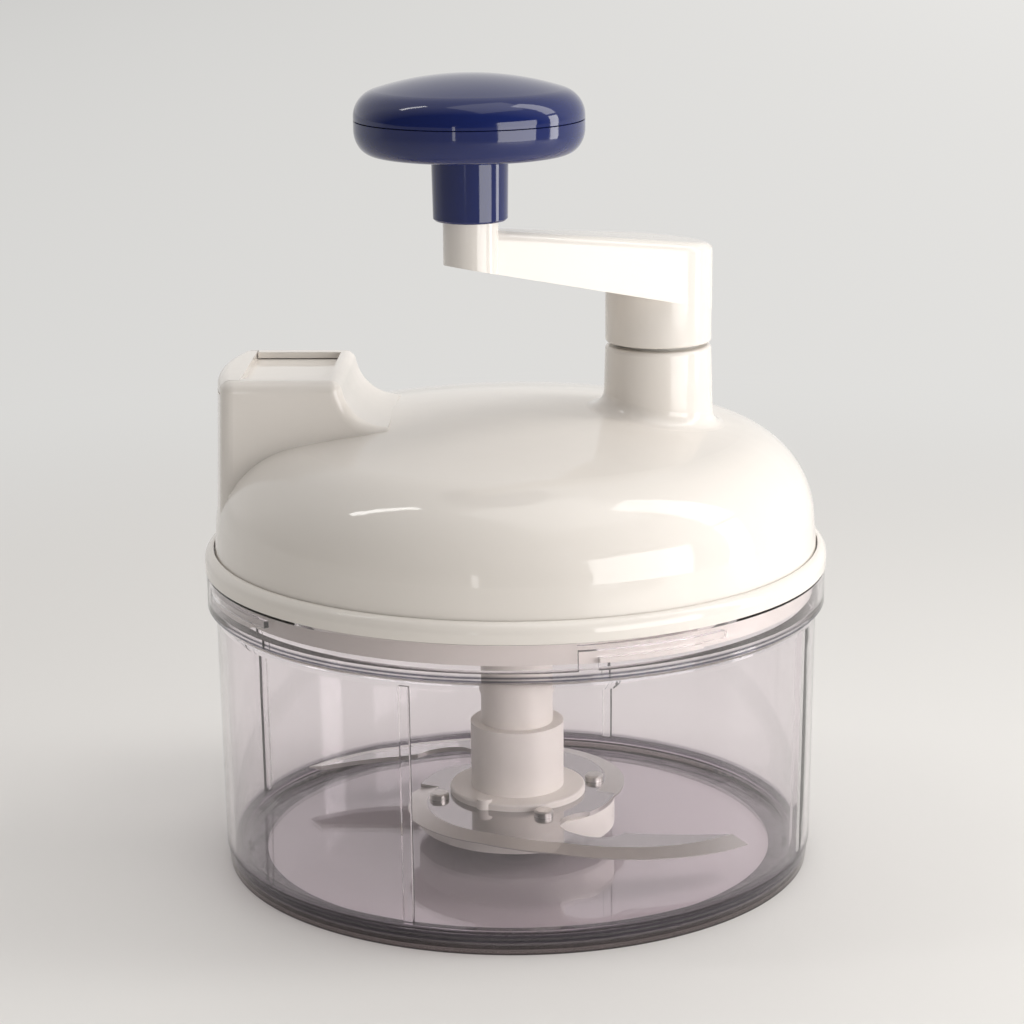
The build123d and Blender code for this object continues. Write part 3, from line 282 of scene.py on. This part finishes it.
# ----------------------------------------------------------------------------- spindle and hub
# The tube, the flanged sleeve and the disc under the blade are moulded from satin white plastic.
# The face is slightly grained by the mould, with pale rubbing where they are washed.
hub_satin = finish_of("hub_satin", (0.80, 0.765, 0.71), 0.38, IOR=1.48)
hub_rub = cloudy(hub_satin, 0.010, detail=5.0)
shader_input(hub_satin, "Roughness", spread(hub_satin, hub_rub, 0.30, 0.50))
mottle(hub_satin, hub_rub, (0.78, 0.745, 0.69), (0.83, 0.795, 0.745))
raise_surface(hub_satin, (cloudy(hub_satin, 0.0006), 0.000012))
dress(hub_satin, "spindle_tube", "blade_carrier", "hub_puck")

# ----------------------------------------------------------------------------------------- blade
# The S-shaped blade is stamped from stainless sheet and polished. A wheel has ground a wide, duller
# bevel along each leading edge. The material finds the bevel by its slope: the polished flats stand
# at most 5 degrees off level, and the bevel about 10 or more.
flat_level = 0.990
blade_steel = finish_of("blade_steel", (0.74, 0.72, 0.70), 0.10, Metallic=1.0)
slope = add_node(blade_steel, "ShaderNodeTexCoord")
rise = add_node(blade_steel, "ShaderNodeSeparateXYZ")
blade_steel.node_tree.links.new(slope.outputs["Normal"], rise.inputs["Vector"])
is_flat = spread(blade_steel, rise.outputs["Z"], 0.0, 1.0, flat_level - 0.004, flat_level)
grind_marks = cloudy(blade_steel, 0.0012, detail=3.0, stretch=(1.0, 0.25, 1.0), turn=0.3)
polish_marks = cloudy(blade_steel, 0.010, detail=4.0, stretch=(9.0, 0.8, 1.0), turn=0.9)
ground_roughness = spread(blade_steel, grind_marks, 0.30, 0.44)
polished_roughness = spread(blade_steel, polish_marks, 0.05, 0.13)
blade_roughness = blade_steel.node_tree.nodes.new("ShaderNodeMix")
blade_steel.node_tree.links.new(is_flat, blade_roughness.inputs[0])
blade_steel.node_tree.links.new(ground_roughness, blade_roughness.inputs[2])
blade_steel.node_tree.links.new(polished_roughness, blade_roughness.inputs[3])
shader_input(blade_steel, "Roughness", blade_roughness.outputs[0])
# The flats' colour is painted darker than the bevel's: painted reflection, dimming what the
# mirror-like flats reflect.
two_tones(blade_steel, is_flat, (0.60, 0.575, 0.55), (0.47, 0.45, 0.45))
raise_surface(blade_steel, (grind_marks, 0.000004), (polish_marks, 0.000003))
dress(blade_steel, "blade")

# ---------------------------------------------------------------------------------- blade rivets
# Four stainless rivets hold the blade to the disc. Their heads are tumbled, which leaves a soft
# shine and small dents.
rivet_bright = finish_of("rivet_bright", (0.62, 0.60, 0.57), 0.30, Metallic=1.0)
rivet_dents = cloudy(rivet_bright, 0.0015, detail=3.0)
shader_input(rivet_bright, "Roughness", spread(rivet_bright, rivet_dents, 0.26, 0.42))
mottle(rivet_bright, rivet_dents, (0.66, 0.64, 0.61), (0.56, 0.54, 0.51))
raise_surface(rivet_bright, (rivet_dents, 0.00002))
dress(rivet_bright, "blade_rivets")

# ------------------------------------------------------------------------------------- pale floor
# A matt pale table top that runs on into the backdrop. Near the chopper it takes light and shadow,
# and further off it glows in a pale room colour, with painted light that is dimmer on the left and
# lighter on the right, as the room's light falls.
floor_half_size = 12.0
fade_from, fade_to = 0.26, 0.66
painted_light_left = (0.63, 0.625, 0.61)
painted_light_right = (0.83, 0.82, 0.80)


def worked_out(material, operation, first, second):
    """The outcome of a sum on two patterns, such as their product or the larger of the two."""
    sum_node = add_node(material, "ShaderNodeMath")
    sum_node.operation = operation
    material.node_tree.links.new(first, sum_node.inputs[0])
    material.node_tree.links.new(second, sum_node.inputs[1])
    return sum_node.outputs["Value"]


grid = np.array([[-1.0, -1.0, 0.0], [1.0, -1.0, 0.0], [1.0, 1.0, 0.0], [-1.0, 1.0, 0.0]])
floor_mesh = bpy.data.meshes.new("floor")
floor_mesh.from_pydata((grid * floor_half_size).tolist(), [], [(0, 1, 2, 3)])
floor = bpy.data.objects.new("floor", floor_mesh)
bpy.context.scene.collection.objects.link(floor)
floor_pale = finish_of("floor_pale", (0.80, 0.785, 0.765), 0.55)
nodes, links = floor_pale.node_tree.nodes, floor_pale.node_tree.links
floor_place = nodes.new("ShaderNodeTexCoord")
floor_axes = nodes.new("ShaderNodeSeparateXYZ")
links.new(floor_place.outputs["Object"], floor_axes.inputs["Vector"])
# Painted light across the far floor: dimmer on the left, lighter on the right.
across = spread(floor_pale, floor_axes.outputs["X"], 0.0, 1.0, -0.9, 0.9)
painted_room_light = nodes.new("ShaderNodeMix")
painted_room_light.data_type = "RGBA"
links.new(across, painted_room_light.inputs[0])
painted_room_light.inputs[6].default_value = (*painted_light_left, 1.0)
painted_room_light.inputs[7].default_value = (*painted_light_right, 1.0)
glow = nodes.new("ShaderNodeEmission")
links.new(painted_room_light.outputs[2], glow.inputs["Color"])
distance = nodes.new("ShaderNodeVectorMath")
distance.operation = "LENGTH"
links.new(floor_place.outputs["Object"], distance.inputs[0])
fade = nodes.new("ShaderNodeMapRange")
fade.interpolation_type = "SMOOTHSTEP"
fade.inputs["From Min"].default_value = fade_from
fade.inputs["From Max"].default_value = fade_to
links.new(distance.outputs["Value"], fade.inputs["Value"])
seen = nodes.new("ShaderNodeLightPath")
glossy, through = seen.outputs["Is Glossy Ray"], seen.outputs["Is Transmission Ray"]
mirrored = worked_out(floor_pale, "MAXIMUM", glossy, through)
at_the_back = spread(floor_pale, floor_axes.outputs["Y"], 0.0, 1.0, -0.1, 0.3)
mirrored_back = worked_out(floor_pale, "MULTIPLY", mirrored, at_the_back)
seen_or_mirrored = worked_out(floor_pale, "MAXIMUM", seen.outputs["Is Camera Ray"], mirrored_back)
how_much = worked_out(floor_pale, "MULTIPLY", seen_or_mirrored, fade.outputs["Result"])
floor_mix = nodes.new("ShaderNodeMixShader")
links.new(how_much, floor_mix.inputs["Fac"])
links.new(nodes["Principled BSDF"].outputs["BSDF"], floor_mix.inputs[1])
links.new(glow.outputs["Emission"], floor_mix.inputs[2])
links.new(floor_mix.outputs["Shader"], nodes["Material Output"].inputs["Surface"])
floor_mesh.materials.append(floor_pale)

# ------------------------------------------------------------------------------------- pale room
# The backdrop and the ceiling behind the chopper are pale and give even light. The room in front,
# where the camera stands, is dim.
dim_wall, pale_wall = (0.09, 0.088, 0.085), (0.80, 0.79, 0.775)
room = bpy.data.worlds.new("room")
bpy.context.scene.world = room
room.use_nodes = True
nodes, links = room.node_tree.nodes, room.node_tree.links
look = nodes.new("ShaderNodeTexCoord")
toward_pale = nodes.new("ShaderNodeVectorMath")
toward_pale.operation = "DOT_PRODUCT"
toward_pale.inputs[1].default_value = (0.10, 1.0, 0.75)
links.new(look.outputs["Generated"], toward_pale.inputs[0])
side = nodes.new("ShaderNodeMapRange")
side.inputs["From Min"].default_value = -0.15
side.inputs["From Max"].default_value = 0.60
links.new(toward_pale.outputs["Value"], side.inputs["Value"])
wall = nodes.new("ShaderNodeMix")
wall.data_type = "RGBA"
links.new(side.outputs["Result"], wall.inputs[0])
wall.inputs[6].default_value = (*dim_wall, 1.0)
wall.inputs[7].default_value = (*pale_wall, 1.0)
links.new(wall.outputs[2], nodes["Background"].inputs["Color"])
nodes["Background"].inputs["Strength"].default_value = 1.0

# ----------------------------------------------------------------------------------------- lamps
# Soft panels. Two stand on the table at the right, close to the chopper, as the two streaks in the
# knob show. One hangs high on the right, a broad one overhead, and narrow ones on the left.
lamp_colour = (1.0, 0.985, 0.965)
lamps_face = Vector((0.0, 0.0, 0.11))


def hang_panel(name, around, height, away, width, tall, brightness):
    """A soft panel that faces the chopper's middle, with that brightness at its face.

    It stands away from the axis, around from the front towards the right by an angle in degrees,
    with its middle at a height. Its power is brightness times pi times its area.
    """
    panel = bpy.data.lights.new(name, "AREA")
    panel.shape = "RECTANGLE"
    panel.size, panel.size_y = width, tall
    panel.energy = brightness * np.pi * width * tall
    panel.color = lamp_colour
    stand = bpy.data.objects.new(name, panel)
    bpy.context.scene.collection.objects.link(stand)
    flat = np.radians(around)
    stand.location = (np.sin(flat) * away, -np.cos(flat) * away, height)
    aim = lamps_face - stand.location
    stand.rotation_mode = "QUATERNION"
    stand.rotation_quaternion = aim.to_track_quat("-Z", "Y")


hang_panel("front_right_panel", 48, 0.19, 0.78, 0.56, 0.36, 4.4)
hang_panel("right_panel", 91, 0.22, 0.78, 0.16, 0.42, 6.0)
hang_panel("high_right_panel", 93, 0.85, 0.70, 0.26, 0.75, 3.5)
hang_panel("overhead_panel", 45, 1.25, 0.35, 0.8, 0.8, 0.9)
hang_panel("high_left_strip", -85, 1.05, 0.62, 0.06, 0.42, 9.0)
hang_panel("front_left_strip", -12, 0.14, 1.1, 0.05, 0.22, 3.0)

# ---------------------------------------------------------------------------------------- camera
# The lens, place and tilt that the bowl's circles give in the photograph.
yaw, pitch, roll = -0.036078, 0.24742, -0.0094123
eye = Vector((0.02590, -0.74162, 0.28347))
forward = Vector((np.sin(yaw) * np.cos(pitch), np.cos(yaw) * np.cos(pitch), -np.sin(pitch)))
level_right = Vector((np.cos(yaw), -np.sin(yaw), 0.0))
level_up = level_right.cross(forward)
right = level_right * np.cos(roll) + level_up * np.sin(roll)
up = level_up * np.cos(roll) - level_right * np.sin(roll)
lens = bpy.data.cameras.new("camera")
lens.sensor_width = 36.0
lens.lens = 98.12
camera = bpy.data.objects.new("camera", lens)
bpy.context.scene.collection.objects.link(camera)
turn = Matrix((right, up, -forward)).transposed().to_4x4()
camera.matrix_world = Matrix.Translation(eye) @ turn
bpy.context.scene.camera = camera
bpy.context.scene.view_settings.view_transform = "Standard"
